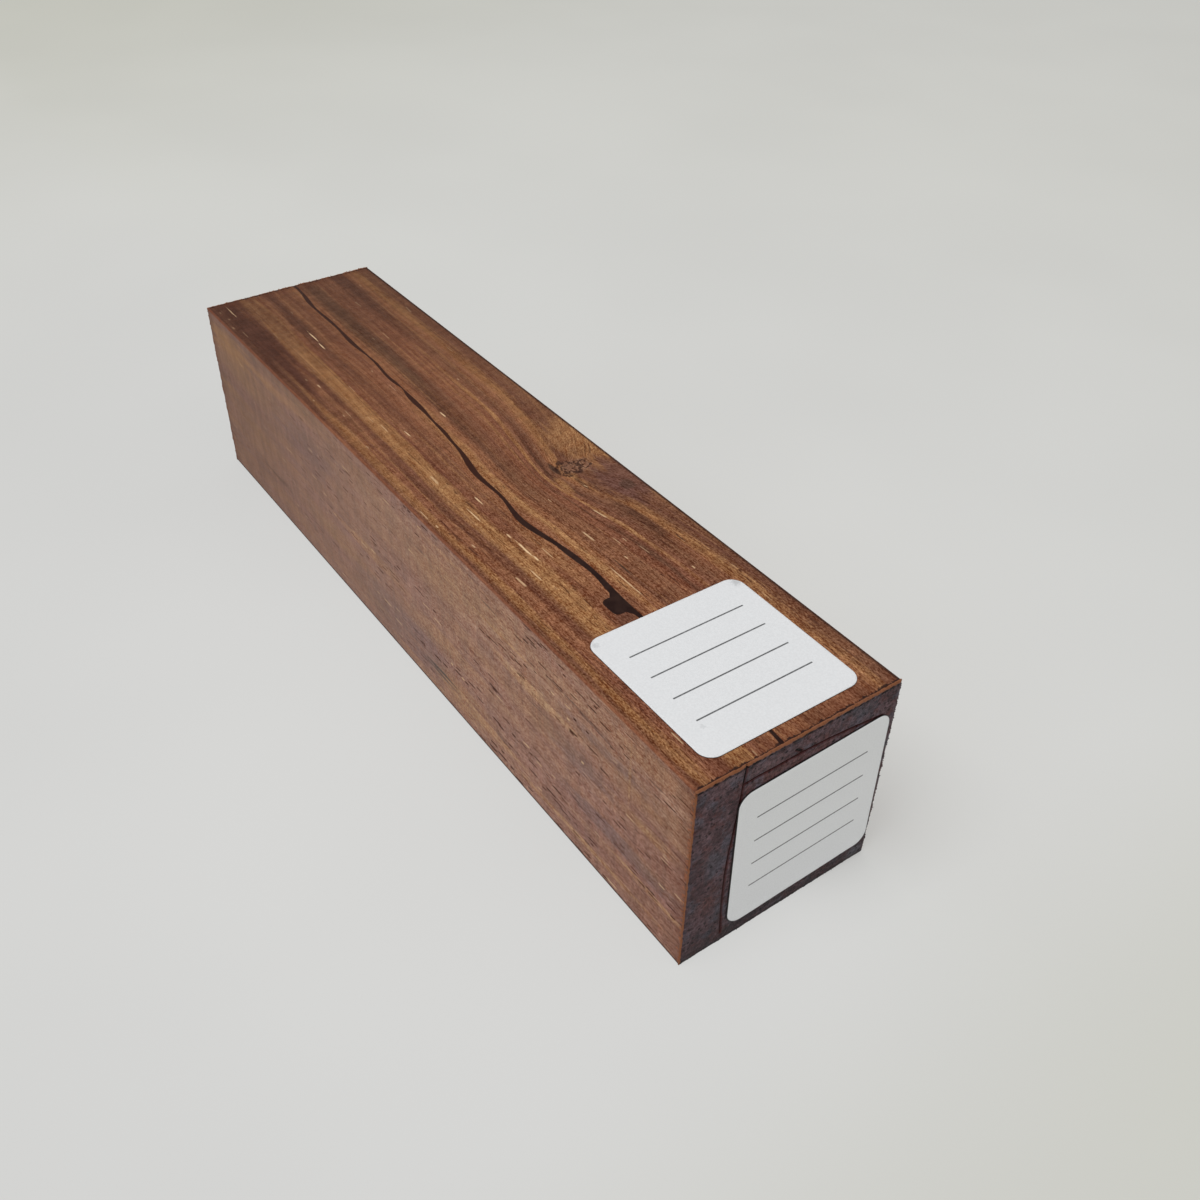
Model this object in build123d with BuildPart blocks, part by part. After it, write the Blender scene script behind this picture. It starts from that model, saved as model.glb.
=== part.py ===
from build123d import *
from math import cos, radians, sin
import os

os.makedirs("parts", exist_ok=True)

# A square turning blank of striped hardwood, sawn to size, with sealed ends.
# Sizes are in millimetres. X runs along the grain towards the labelled end,
# Z is up, and the origin is in the middle of the underside.

# Sawn blank, without its seals
blank_length = 172.6
blank_width = 39.5
blank_height = 39.8
arris_radius = 0.3

# Wax that seals the end grain
seal_thickness = 0.35
seal_edge_radius = 0.12

# Drying check that wanders along the top face. It is filled flush with dark
# resin, and it narrows towards its root.
check_depth = 5.0
check_root_share = 0.35
# Each station gives its share of the length from the far end, its distance
# from the middle towards +Y, and the check's width there at the surface.
check_stations = [
    (0.000, 1.05, 0.75),
    (0.030, 0.90, 0.75),
    (0.053, 0.40, 1.00),
    (0.072, 0.10, 0.65),
    (0.111, 0.15, 0.75),
    (0.146, 0.05, 0.60),
    (0.182, -0.35, 0.95),
    (0.204, -0.35, 0.75),
    (0.228, -0.25, 0.40),
    (0.250, -0.30, 0.60),
    (0.285, -0.90, 0.65),
    (0.308, -0.80, 0.65),
    (0.320, -0.75, 0.25),
    (0.333, -1.00, 0.70),
    (0.377, -1.40, 0.85),
    (0.407, -1.85, 0.50),
    (0.429, -2.05, 0.80),
    (0.453, -2.55, 0.60),
    (0.472, -2.85, 0.70),
    (0.495, -3.60, 1.15),
    (0.528, -4.50, 1.05),
    (0.574, -4.45, 0.65),
    (0.615, -5.45, 1.15),
    (0.656, -4.65, 1.05),
    (0.673, -4.15, 0.90),
    (0.690, -3.90, 1.20),
    (0.731, -3.45, 0.95),
    (0.756, -3.80, 1.20),
    (0.804, -3.90, 0.85),
    (0.866, -3.15, 0.80),
    (0.923, -3.15, 0.60),
    (0.987, -3.75, 0.60),
    (1.000, -4.00, 0.80),
]

# Small void beside the check, filled with it. Its mouth spreads along the
# check, and its bag tapers as it goes down.
pocket_share = 0.781
pocket_length = 4.4
pocket_width = 3.0
pocket_corner = 1.1
pocket_depth = 7.5
pocket_taper = 8
pocket_offset = -5.5
mouth_length = 8.8
mouth_width = 1.35
mouth_angle = 32
mouth_offset = -4.4

# Square paper labels with rounded corners
label_side = 30.0
label_corner = 2.5
label_thickness = 0.12
top_label_end_margin = 3.3
top_label_turn = -0.4
end_label_side_margin = 0.45
end_label_base_margin = 3.4
end_label_turn = 1.3

half_length = blank_length / 2
finished_half_length = half_length + seal_thickness


def blank_section(plane):
    """The blank's cross-section on a plane across the grain."""
    with BuildSketch(plane) as section:
        with Locations((0, blank_height / 2)):
            RectangleRounded(blank_width, blank_height, arris_radius)
    return section.sketch


def check_section(height, width_share):
    """The check's outline at one height, with its widths cut to a share."""
    places = [
        (share * blank_length - half_length, middle, width * width_share / 2)
        for share, middle, width in check_stations
    ]
    left_wall = [(x, middle + half_width) for x, middle, half_width in places]
    right_wall = [(x, middle - half_width) for x, middle, half_width in places]
    with BuildSketch(Plane.XY.offset(height)) as section:
        with BuildLine():
            Spline(*left_wall)
            Line(left_wall[-1], right_wall[-1])
            Spline(*right_wall)
            Line(left_wall[0], right_wall[0])
        make_face()
    return section.sketch


def label_reach(turn):
    """Half the span of a label that is turned by a few degrees."""
    return label_side / 2 * (cos(radians(turn)) + sin(radians(abs(turn))))


# Dark resin that fills the check and its pocket
check_top = check_section(blank_height, 1)
check_root = check_section(blank_height - check_depth, check_root_share)
pocket_x = pocket_share * blank_length - half_length
with BuildPart() as crack_fill:
    loft(sections=[check_root, check_top], ruled=True)
    with BuildSketch(Plane.XY.offset(blank_height)):
        with Locations((pocket_x, mouth_offset)):
            Trapezoid(mouth_length, mouth_width, mouth_angle, rotation=180)
    extrude(amount=-check_depth)
    with BuildSketch(Plane.XY.offset(blank_height)):
        with Locations((pocket_x, pocket_offset)):
            RectangleRounded(pocket_length, pocket_width, pocket_corner)
    extrude(amount=-pocket_depth, taper=pocket_taper)
crack_fill.part.label = "crack_fill"

# Sawn wood, with the check and its pocket open in the top face
with BuildPart() as blank:
    extrude(blank_section(Plane.YZ.offset(-half_length)), amount=blank_length)
    add(crack_fill.part, mode=Mode.SUBTRACT)
blank.part.label = "blank"

# Wax over the near end grain, its outer edge rounded
with BuildPart() as end_seal_near:
    extrude(blank_section(Plane.YZ.offset(half_length)), amount=seal_thickness)
    fillet(end_seal_near.edges().group_by(Axis.X)[-1], seal_edge_radius)
end_seal_near.part.label = "end_seal_near"

# The same wax over the far end grain
with BuildPart() as end_seal_far:
    mirror(end_seal_near.part, about=Plane.YZ)
end_seal_far.part.label = "end_seal_far"

# Label on the top face, near the sealed end
top_label_x = finished_half_length - top_label_end_margin - label_reach(top_label_turn)
with BuildPart() as top_label:
    with BuildSketch(Plane.XY.offset(blank_height)):
        with Locations((top_label_x, 0)):
            RectangleRounded(label_side, label_side, label_corner, rotation=top_label_turn)
    extrude(amount=label_thickness)
top_label.part.label = "top_label"

# Label on the near end seal, set over to the +Y side and slightly turned
end_label_y = blank_width / 2 - end_label_side_margin - label_reach(end_label_turn)
end_label_z = end_label_base_margin + label_reach(end_label_turn)
with BuildPart() as end_label:
    with BuildSketch(Plane.YZ.offset(finished_half_length)):
        with Locations((end_label_y, end_label_z)):
            RectangleRounded(label_side, label_side, label_corner, rotation=end_label_turn)
    extrude(amount=label_thickness)
end_label.part.label = "end_label"

for piece in (blank, crack_fill, end_seal_near, end_seal_far, top_label, end_label):
    export_step(piece.part, f"parts/{piece.part.label}.step")
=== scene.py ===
import math

import bpy
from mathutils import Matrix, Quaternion, Vector, noise


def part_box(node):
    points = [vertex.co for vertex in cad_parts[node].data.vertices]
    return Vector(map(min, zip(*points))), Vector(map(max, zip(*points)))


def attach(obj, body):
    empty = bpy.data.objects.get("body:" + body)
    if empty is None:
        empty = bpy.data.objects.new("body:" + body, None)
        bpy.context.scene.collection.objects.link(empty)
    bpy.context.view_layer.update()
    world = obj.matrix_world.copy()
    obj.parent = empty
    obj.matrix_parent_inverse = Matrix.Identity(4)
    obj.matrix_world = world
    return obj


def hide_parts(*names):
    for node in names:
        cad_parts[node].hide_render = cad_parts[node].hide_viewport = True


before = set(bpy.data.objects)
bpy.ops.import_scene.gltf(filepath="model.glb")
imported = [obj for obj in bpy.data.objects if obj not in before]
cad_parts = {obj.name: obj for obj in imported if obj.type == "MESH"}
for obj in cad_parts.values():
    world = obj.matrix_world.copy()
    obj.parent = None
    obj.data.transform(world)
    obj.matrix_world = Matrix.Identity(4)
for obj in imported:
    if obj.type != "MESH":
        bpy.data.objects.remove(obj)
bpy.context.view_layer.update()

# A square turning blank of striped rosewood. Lengths in this file are in
# millimetres until a mesh or a light is placed, which happens in metres.
MM = 0.001

blank_low, blank_high = (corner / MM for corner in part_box("blank"))
_, seal_high = (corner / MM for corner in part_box("end_seal_near"))
far_seal_low, _ = (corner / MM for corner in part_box("end_seal_far"))
blank_width = blank_high.y - blank_low.y
blank_height = blank_high.z
overall_length = seal_high.x - far_seal_low.x


# Camera, at the photograph's place and angle

camera_place = Vector((167.6, -96.5, 163.8)) * MM
camera_target = Vector((26.55, 7.55, 20.0)) * MM
camera_roll = math.radians(1.455)
camera_lens = 36.68
camera_sensor = 36.0
camera_near_limit = 0.01


def new_object(name, data):
    """An object in the scene that holds some data."""
    made = bpy.data.objects.new(name, data)
    bpy.context.scene.collection.objects.link(made)
    return made


def aim(thing, place, target, roll=0.0):
    """Puts a camera or a lamp in its place and turns it to face a target."""
    thing.location = place
    thing.rotation_mode = "QUATERNION"
    facing = (target - place).to_track_quat("-Z", "Y")
    thing.rotation_quaternion = facing @ Quaternion((0, 0, 1), roll)


def make_camera():
    """A camera above the near left, turned a little about its own axis."""
    data = bpy.data.cameras.new("camera")
    data.lens = camera_lens
    data.sensor_width = camera_sensor
    data.clip_start = camera_near_limit
    camera = new_object("camera", data)
    aim(camera, camera_place, camera_target, camera_roll)
    bpy.context.scene.camera = camera


make_camera()
bpy.context.scene.view_settings.view_transform = "Standard"


# Node recipes

darkest_texture = -0.6


def linear(colour):
    """A tone's name or an sRGB hex colour, as linear numbers for a shader."""
    colour = tones.get(colour, colour)
    channels = [int(colour[i:i + 2], 16) / 255 for i in (1, 3, 5)]
    return [c / 12.92 if c <= 0.04045 else ((c + 0.055) / 1.055) ** 2.4 for c in channels] + [1.0]


class Recipe:
    """Adds nodes to one tree and links them, one call for each step."""

    def __init__(self, tree):
        self.tree = tree

    def feed(self, socket, value):
        """Links a socket to another one, or sets its own value."""
        if isinstance(value, bpy.types.NodeSocket):
            self.tree.links.new(value, socket)
        else:
            socket.default_value = value

    def node(self, kind, inputs=(), **settings):
        """A new node, with its settings made first and its inputs fed next."""
        made = self.tree.nodes.new(kind)
        for name, value in settings.items():
            setattr(made, name, value)
        for socket, value in dict(inputs).items():
            self.feed(made.inputs[socket], value)
        return made

    def math(self, operation, *values):
        return self.node("ShaderNodeMath", enumerate(values), operation=operation).outputs[0]

    def add(self, first, *others):
        for other in others:
            first = self.math("ADD", first, other)
        return first

    def less(self, whole, part):
        return self.math("SUBTRACT", whole, part)

    def to_edge(self, place, width):
        """Distance to the nearer end of a stretch that starts at 0."""
        return self.math("MINIMUM", place, self.less(width, place))

    def times(self, first, *others):
        for other in others:
            first = self.math("MULTIPLY", first, other)
        return first

    def smooth(self, value, start, end, low=0.0, high=1.0):
        """A soft step from low to high as the value goes from start to end."""
        inputs = {"Value": value, "From Min": start, "From Max": end, "To Min": low, "To Max": high}
        return self.node("ShaderNodeMapRange", inputs, interpolation_type="SMOOTHSTEP").outputs[0]

    def join(self, x, y, z):
        return self.node("ShaderNodeCombineXYZ", {0: x, 1: y, 2: z}).outputs[0]

    def split(self, vector):
        return self.node("ShaderNodeSeparateXYZ", {0: vector}).outputs

    def vector(self, operation, first, second):
        return self.node("ShaderNodeVectorMath", {0: first, 1: second}, operation=operation).outputs[0]

    def length(self, vector):
        return self.node("ShaderNodeVectorMath", {0: vector}, operation="LENGTH").outputs["Value"]

    def noise(self, vector, stretch=(1, 1, 1), detail=2.0, roughness=0.5):
        """Noise of which one wave is one unit of the stretched vector."""
        place = self.vector("MULTIPLY", vector, stretch)
        inputs = {"Vector": place, "Scale": 1.0, "Detail": detail, "Roughness": roughness}
        return self.node("ShaderNodeTexNoise", inputs).outputs[0]

    def swing(self, value, reach):
        """Turns noise into a swing about zero."""
        return self.times(self.add(value, -0.5), 2 * reach)

    def ramp(self, value, stops):
        """A colour ramp with stops of (place, colour)."""
        made = self.node("ShaderNodeValToRGB", {0: value})
        elements = made.color_ramp.elements
        while len(elements) < len(stops):
            elements.new(1.0)
        for element, (place, colour) in zip(elements, stops):
            element.position = place
            element.color = linear(colour)
        return made.outputs[0]

    def mix(self, factor, first, second):
        """The second colour laid over the first. Either may be a tone or hex."""
        first, second = (linear(c) if isinstance(c, str) else c for c in (first, second))
        return self.node("ShaderNodeMix", {0: factor, 6: first, 7: second}, data_type="RGBA").outputs[2]

    def lay(self, colour, *layers):
        """Lays layers of (mask, colour) over a colour, one after another."""
        for mask, layer in layers:
            colour = self.mix(mask, colour, layer)
        return colour

    def between(self, factor, first, second):
        """The value that lies a share of the way from the first to the second."""
        return self.node("ShaderNodeMix", {0: factor, 2: first, 3: second}, data_type="FLOAT").outputs[0]

    def shade(self, colour, factor):
        """A colour made lighter or darker by a factor."""
        return self.vector("MULTIPLY", colour, self.join(factor, factor, factor))

    def tinted(self, colour, texture, gains):
        """A colour turned pale where a texture about zero is above it, and
        dark and red where it is below, by a gain for each channel."""
        texture = self.math("MAXIMUM", texture, darkest_texture)
        factors = [self.math("MULTIPLY_ADD", texture, gain, 1.0) for gain in gains]
        return self.vector("MULTIPLY", colour, self.join(*factors))


def placed(do, tree, **inputs):
    """Places an effect group with its named inputs and gives its outputs."""
    group = do.node("ShaderNodeGroup", {}, node_tree=tree)
    for name, value in inputs.items():
        do.feed(group.inputs[name.replace("_", " ")], value)
    return group.outputs


def effect_group(name, inputs, outputs):
    """A node group with named sockets, its recipe, its inputs and its outputs."""
    tree = bpy.data.node_groups.new(name, "ShaderNodeTree")
    for side, sockets in (("INPUT", inputs), ("OUTPUT", outputs)):
        for socket, kind in sockets.items():
            tree.interface.new_socket(socket, in_out=side, socket_type=f"NodeSocket{kind}")
    entry = tree.nodes.new("NodeGroupInput")
    leave = tree.nodes.new("NodeGroupOutput")
    return tree, Recipe(tree), entry.outputs, leave.inputs


def new_material(name, preview, specular=0.5):
    """A material with a Principled shader, its recipe and its place vector."""
    material = bpy.data.materials.new(name)
    material.use_nodes = True
    material.diffuse_color = linear(preview)
    shader = material.node_tree.nodes["Principled BSDF"]
    shader.inputs["Specular IOR Level"].default_value = specular
    do = Recipe(material.node_tree)
    place = do.node("ShaderNodeTexCoord").outputs["Object"]
    return material, shader, do, place


def finish_shader(do, shader, colour, roughness, height, strength=0.8):
    """Feeds a colour, a roughness and a height in millimetres to a shader."""
    bump = do.node("ShaderNodeBump", {"Height": height, "Distance": MM, "Strength": strength})
    do.feed(shader.inputs["Base Color"], colour)
    do.feed(shader.inputs["Roughness"], roughness)
    do.feed(shader.inputs["Normal"], bump.outputs[0])


# Grain of the wood. The knot lies in the top face, at its place from the far
# end and from the +Y edge. It bends the grain towards the middle, over a wide
# stretch and more steeply close by.
knot_along = 98.4
knot_across = 8.2
knot_push = 5.5
knot_reach = 15.0
knot_shade_start = 14.0
knot_shade_length = 7.5
close_push = 3.6
close_reach = 5.0
close_shade_start = 8.0
close_shade_length = 2.6
knot_depth = 28.0
ring_tilt = 0.25


def make_grain_course():
    """Places in the blank in millimetres, as (along, across, below the top),
    the ring that each point lies on, and the place that the fibres follow."""
    tree, do, given, put = effect_group(
        "grain_course",
        {"Vector": "Vector"},
        {"Place": "Vector", "Ring": "Float", "Fibre": "Vector"},
    )
    scaled = do.vector("MULTIPLY", given["Vector"], (1 / MM, -1 / MM, -1 / MM))
    place = do.vector("ADD", scaled, (overall_length / 2, blank_width / 2, blank_height))
    along, across, depth = do.split(place)
    fade = do.math("EXPONENT", do.math("DIVIDE", do.math("ABSOLUTE", depth), -knot_depth))

    def push_of(strength, reach, shade_start, shade_length):
        offset = do.math("DIVIDE", do.add(along, -knot_along), reach)
        nearness = do.math("DIVIDE", 1, do.math("MULTIPLY_ADD", offset, offset, 1))
        past = do.math("MAXIMUM", do.add(across, -shade_start), 0)
        shade = do.math("EXPONENT", do.math("DIVIDE", past, -shade_length))
        return do.times(nearness, shade, fade, -strength)

    wide = push_of(knot_push, knot_reach, knot_shade_start, knot_shade_length)
    close = push_of(close_push, close_reach, close_shade_start, close_shade_length)
    slow = do.swing(do.noise(place, (0.012, 0.05, 0.04)), 1.2)
    quick = do.swing(do.noise(place, (0.05, 0.3, 0.2)), 0.5)
    bend = do.add(wide, close, slow, quick)

    do.feed(put["Place"], place)
    do.feed(put["Ring"], do.add(across, do.times(depth, ring_tilt), bend))
    do.feed(put["Fibre"], do.vector("ADD", place, do.join(0, bend, 0)))
    return tree


def make_soft_patch():
    """A mask of a soft-edged patch. The stretch and the shift make the patch a
    ball of radius 1 about zero, and the level says how far out it reaches."""
    tree, do, given, put = effect_group(
        "soft_patch",
        {"Vector": "Vector", "Stretch": "Vector", "Shift": "Vector",
         "Level": "Float", "Softness": "Float", "Strength": "Float"},
        {"Mask": "Float"},
    )
    ball = do.node(
        "ShaderNodeVectorMath", {0: given["Vector"], 1: given["Stretch"], 2: given["Shift"]},
        operation="MULTIPLY_ADD").outputs[0]
    inside = do.less(given["Level"], do.length(ball))
    do.feed(put["Mask"], do.smooth(inside, 0, given["Softness"], 0, given["Strength"]))
    return tree


def make_vessels():
    """Masks of pores, which are thin tubes along the grain that each face cuts
    open: a share of them open, and the last few of them filled and pale."""
    tree, do, given, put = effect_group(
        "vessels",
        {"Fibre": "Vector", "Length": "Float", "Spacing": "Float", "Radius": "Float",
         "Share": "Float", "Pale From": "Float"},
        {"Open": "Float", "Pale": "Float"},
    )
    cell = do.join(given["Length"], given["Spacing"], given["Spacing"])
    scaled = do.vector("DIVIDE", given["Fibre"], cell)
    cells = do.node("ShaderNodeTexVoronoi", {"Vector": scaled, "Scale": 1}, feature="F1").outputs
    gap = do.vector("MULTIPLY", do.vector("SUBTRACT", scaled, cells["Position"]), cell)
    along, across, down = do.split(gap)
    radial = do.length(do.join(0, across, down))
    chance, width_chance, length_chance = do.split(cells["Color"])
    radius = do.times(given["Radius"], do.math("MULTIPLY_ADD", width_chance, 0.8, 0.6))
    half_length = do.times(given["Length"], do.math("MULTIPLY_ADD", length_chance, 0.32, 0.1))
    within = do.smooth(do.math("DIVIDE", radial, radius), 1.3, 0.6)
    ends = do.smooth(do.math("DIVIDE", do.math("ABSOLUTE", along), half_length), 1.1, 0.6)
    tube = do.times(within, ends)
    do.feed(put["Open"], do.times(tube, do.math("LESS_THAN", chance, given["Share"])))
    do.feed(put["Pale"], do.times(tube, do.math("GREATER_THAN", chance, given["Pale From"])))
    return tree


grain_course = make_grain_course()
soft_patch = make_soft_patch()
vessels = make_vessels()

# Colours that the tables and recipes name
tones = {
    "glint": "#e8c49a",
    "golden": "#a07149",
    "flame": "#9f714a",
    "ochre": "#92643f",
    "tan": "#8c5b3f",
    "russet": "#80503a",
    "red_brown": "#6f4533",
    "brown": "#704835",
    "dark": "#523325",
    "purple": "#543329",
    "maroon": "#4f2c24",
    "plum": "#68443b",
    "smoky": "#493429",
    "soot": "#38281f",
    "sawn": "#96705c",
    "sawn_gold": "#b98b5c",
    "sawn_ochre": "#a47652",
    "sawn_grey": "#785850",
    "sawn_red": "#87584a",
    "pale_wax": "#675458",
    "slate_wax": "#4c4a53",
    "ashen_wax": "#6c6c75",
    "dark_wax": "#32272b",
    "red_wax": "#5e3c3a",
}

# Stripes across the rings, from the +Y edge: place and tone
ring_start = -8
ring_span = 62
stripes = [
    (-6, "ochre"),
    (0, "brown"),
    (2.2, "brown"),
    (3.6, "ochre"),
    (5.2, "tan"),
    (6.8, "brown"),
    (10, "russet"),
    (13, "russet"),
    (15, "brown"),
    (17.5, "brown"),
    (18.6, "tan"),
    (20.4, "tan"),
    (22, "russet"),
    (24.2, "tan"),
    (25.4, "red_brown"),
    (28.3, "russet"),
    (29.2, "ochre"),
    (31.8, "golden"),
    (33, "red_brown"),
    (34.6, "russet"),
    (36.2, "russet"),
    (37.4, "ochre"),
    (38.6, "red_brown"),
    (40.3, "tan"),
    (41.6, "ochre"),
    (43, "russet"),
    (45, "tan"),
    (46.4, "russet"),
    (49.5, "tan"),
    (53, "russet"),
]

# Streaks of limited length near the top: place along, ring, half length, half
# width, strength and tone
top_streaks = [
    (8, 8.2, 24, 2.3, 0.85, "purple"),
    (6, 12, 34, 2.2, 0.5, "brown"),
    (24, 15.8, 46, 2.1, 0.5, "smoky"),
    (6, 22.5, 36, 2, 0.5, "red_brown"),
    (12, 26, 30, 1.5, 0.65, "purple"),
    (4, 30.4, 34, 1.8, 0.6, "brown"),
    (10, 36.4, 56, 4.2, 0.95, "maroon"),
    (88, 9.2, 46, 0.55, 0.8, "golden"),
    (80, 11.6, 30, 0.35, 0.55, "ochre"),
    (99, 7.6, 15, 0.5, 0.75, "dark"),
    (104, 11.2, 22, 0.4, 0.45, "dark"),
    (118, 5.4, 10, 1.3, 0.8, "dark"),
    (131, 10.9, 17, 0.7, 0.75, "dark"),
    (72, 16.6, 26, 1.8, 0.45, "dark"),
    (112, 20.6, 50, 1.2, 0.8, "golden"),
    (124, 28.6, 16, 1, 0.6, "golden"),
    (60, 37, 26, 0.8, 0.35, "golden"),
    (84, 21.6, 26, 1.6, 0.55, "golden"),
    (76, 15.6, 20, 1.4, 0.35, "tan"),
    (98, 34.2, 26, 0.9, 0.5, "purple"),
    (120, 39, 50, 0.6, 0.4, "purple"),
    (118, 37, 22, 0.5, 0.6, "golden"),
    (122, 16, 24, 2, 0.5, "tan"),
    (124, 26, 26, 1.6, 0.7, "tan"),
    (118, 25.4, 12, 1.4, 0.5, "golden"),
    (126, 35, 22, 1.6, 0.65, "tan"),
    (150, 24.5, 36, 3.2, 0.5, "tan"),
    (162, 12, 22, 10, 0.35, "tan"),
]

# Patches about the knot and the pocket, by place along and across
knot_patches = [
    (89.5, 1, 9, 7.5, 0.75, "flame"),
    (106, 2, 9, 6.5, 0.8, "plum"),
    (108.4, 3.3, 1.8, 1.5, 0.6, "smoky"),
    (102.5, 13, 3.8, 0.8, 0.8, "golden"),
    (97.3, 11.5, 2.4, 0.7, 0.9, "smoky"),
    (103.5, 10, 3.6, 0.5, 0.55, "smoky"),
    (100.6, 10, 1.3, 1.2, 0.6, "golden"),
    (136.5, 24.6, 6, 3.4, 0.5, "red_brown"),
    (138.4, 25.6, 2.4, 2.2, 0.55, "purple"),
]

# Long pale vessels that the top face lays open. Their pale tone is also a painted glint of light along
# them.
glinting_vessels = [
    (25.6, 25.8, 3, 0.16, 0.8, "glint"),
    (30.2, 26.1, 2, 0.16, 0.8, "glint"),
    (5, 35.8, 3.4, 0.14, 0.55, "glint"),
    (69, 18.8, 1.2, 0.2, 0.8, "glint"),
    (71.5, 27.9, 1.2, 0.16, 0.85, "glint"),
    (98, 28.2, 1.5, 0.15, 0.85, "glint"),
    (101.7, 31.2, 2.6, 0.15, 0.8, "glint"),
    (110, 29.4, 0.9, 0.17, 0.8, "glint"),
    (114.2, 29.2, 2.7, 0.2, 1, "glint"),
    (117.8, 29, 1.1, 0.18, 1, "glint"),
    (131.5, 20.2, 5.6, 0.15, 0.7, "glint"),
    (45.5, 34, 0.9, 0.16, 0.7, "glint"),
    (128, 18.4, 3.4, 0.16, 0.9, "smoky"),
    (127, 5.4, 2, 0.16, 0.9, "smoky"),
]

# Streaks of the -Y face: place along, depth, half length, half height,
# strength and tone
side_streaks = [
    (9, 5, 13, 4, 0.8, "sawn_ochre"),
    (34, 4.6, 16, 1.7, 0.75, "sawn_ochre"),
    (172, 30, 34, 15, 0.6, "sawn_red"),
    (48, 11, 16, 4.5, 0.5, "sawn_grey"),
    (74, 21.6, 18, 1.2, 0.75, "sawn_ochre"),
    (28, 29.5, 8, 0.7, 0.6, "dark"),
    (80, 32, 13, 7, 0.6, "sawn_grey"),
    (96, 32, 8, 6.5, 0.6, "sawn_grey"),
    (123, 8.2, 12, 0.45, 0.65, "sawn_gold"),
    (132, 4, 44, 3.2, 0.4, "sawn_ochre"),
    (95, 7.4, 5, 0.25, 0.8, "dark"),
    (119, 4.7, 4, 0.22, 0.8, "dark"),
    (144, 6.4, 9, 0.22, 0.8, "dark"),
    (150, 6.9, 6, 0.18, 0.8, "dark"),
    (166, 6.4, 5, 0.22, 0.75, "dark"),
    (133, 13.2, 12, 1.5, 0.6, "sawn_gold"),
    (134, 16, 6, 0.2, 0.8, "dark"),
    (136, 18.6, 4, 0.2, 0.8, "dark"),
    (164, 17.6, 7, 1.3, 0.45, "sawn_gold"),
    (146, 18.4, 10, 3.2, 0.65, "sawn_grey"),
    (156, 26.5, 18, 2.2, 0.75, "sawn_grey"),
    (152, 10.4, 14, 1.4, 0.6, "sawn_grey"),
    (108, 24, 14, 1.6, 0.5, "sawn_ochre"),
    (109, 34, 10, 4.6, 0.7, "sawn_ochre"),
    (101, 33.7, 7, 0.6, 1, "soot"),
    (121, 34, 9, 1.3, 0.6, "sawn_gold"),
    (123, 32.8, 5, 0.35, 1, "dark"),
    (144, 36.2, 17, 0.8, 0.65, "sawn_gold"),
    (163, 30.6, 11, 0.6, 0.55, "sawn_gold"),
    (160, 35.6, 13, 0.6, 0.6, "sawn_ochre"),
    (158.7, 9, 0.35, 7, 0.35, "sawn_gold"),
]


def patch_mask(do, vector, centre, reach, level, softness, strength):
    """Places the patch group by its centre and its reach each way."""
    stretch = [1 / r for r in reach]
    shift = [-c / r for c, r in zip(centre, reach)]
    return placed(
        do, soft_patch, Vector=vector, Stretch=stretch, Shift=shift,
        Level=level, Softness=softness, Strength=strength,
    )["Mask"]


def lay_streaks(do, colour, vector, streaks, middle, reach, wobble, softness):
    """Lays a list of streaks over a colour. The wobble moves their edges."""
    level = do.less(0.8 + softness, wobble)
    for along, across, half_length, half_width, strength, tone in streaks:
        mask = patch_mask(
            do, vector, (along, across, middle), (half_length, half_width, reach),
            level, 2 * softness, strength)
        colour = do.mix(mask, colour, tone)
    return colour


# Loops of dark line about the knot's heart: middle along and across, reach
# along and across
knot_loops = [
    (98.6, 6.1, 1.25, 1.1),
    (98.4, 8.9, 1.4, 1.5),
    (98.2, 9.3, 2.3, 2.2),
    (98.7, 7.4, 0.7, 0.9),
]


def knot_marks(do, place):
    """Masks of the knot: its pale heart, and the broken loops about it."""
    swirl = do.node("ShaderNodeTexNoise", {"Vector": place, "Scale": 0.8, "Detail": 1}).outputs["Color"]
    pull = do.vector("MULTIPLY", do.vector("SUBTRACT", swirl, (0.5, 0.5, 0.5)), (2.6, 2.6, 0))
    stirred = do.vector("ADD", place, pull)
    lines = 0
    for along, across, reach_along, reach_across in knot_loops:
        offset = do.vector("SUBTRACT", stirred, (along, across, 0))
        distance = do.length(do.vector("DIVIDE", offset, (reach_along, reach_across, 5)))
        line = do.smooth(do.math("ABSOLUTE", do.add(distance, -1)), 0.3, 0.1)
        lines = do.math("MAXIMUM", lines, line)
    broken = do.smooth(do.noise(place, (1.1, 1.1, 0.5)), 0.4, 0.52, 0.15, 1)
    offset = do.vector("SUBTRACT", stirred, (knot_along, knot_across - 0.5, 0))
    heart = do.smooth(do.length(do.vector("DIVIDE", offset, (2.4, 3.6, 6))), 1.1, 0.7)
    return heart, do.times(lines, broken)


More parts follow.
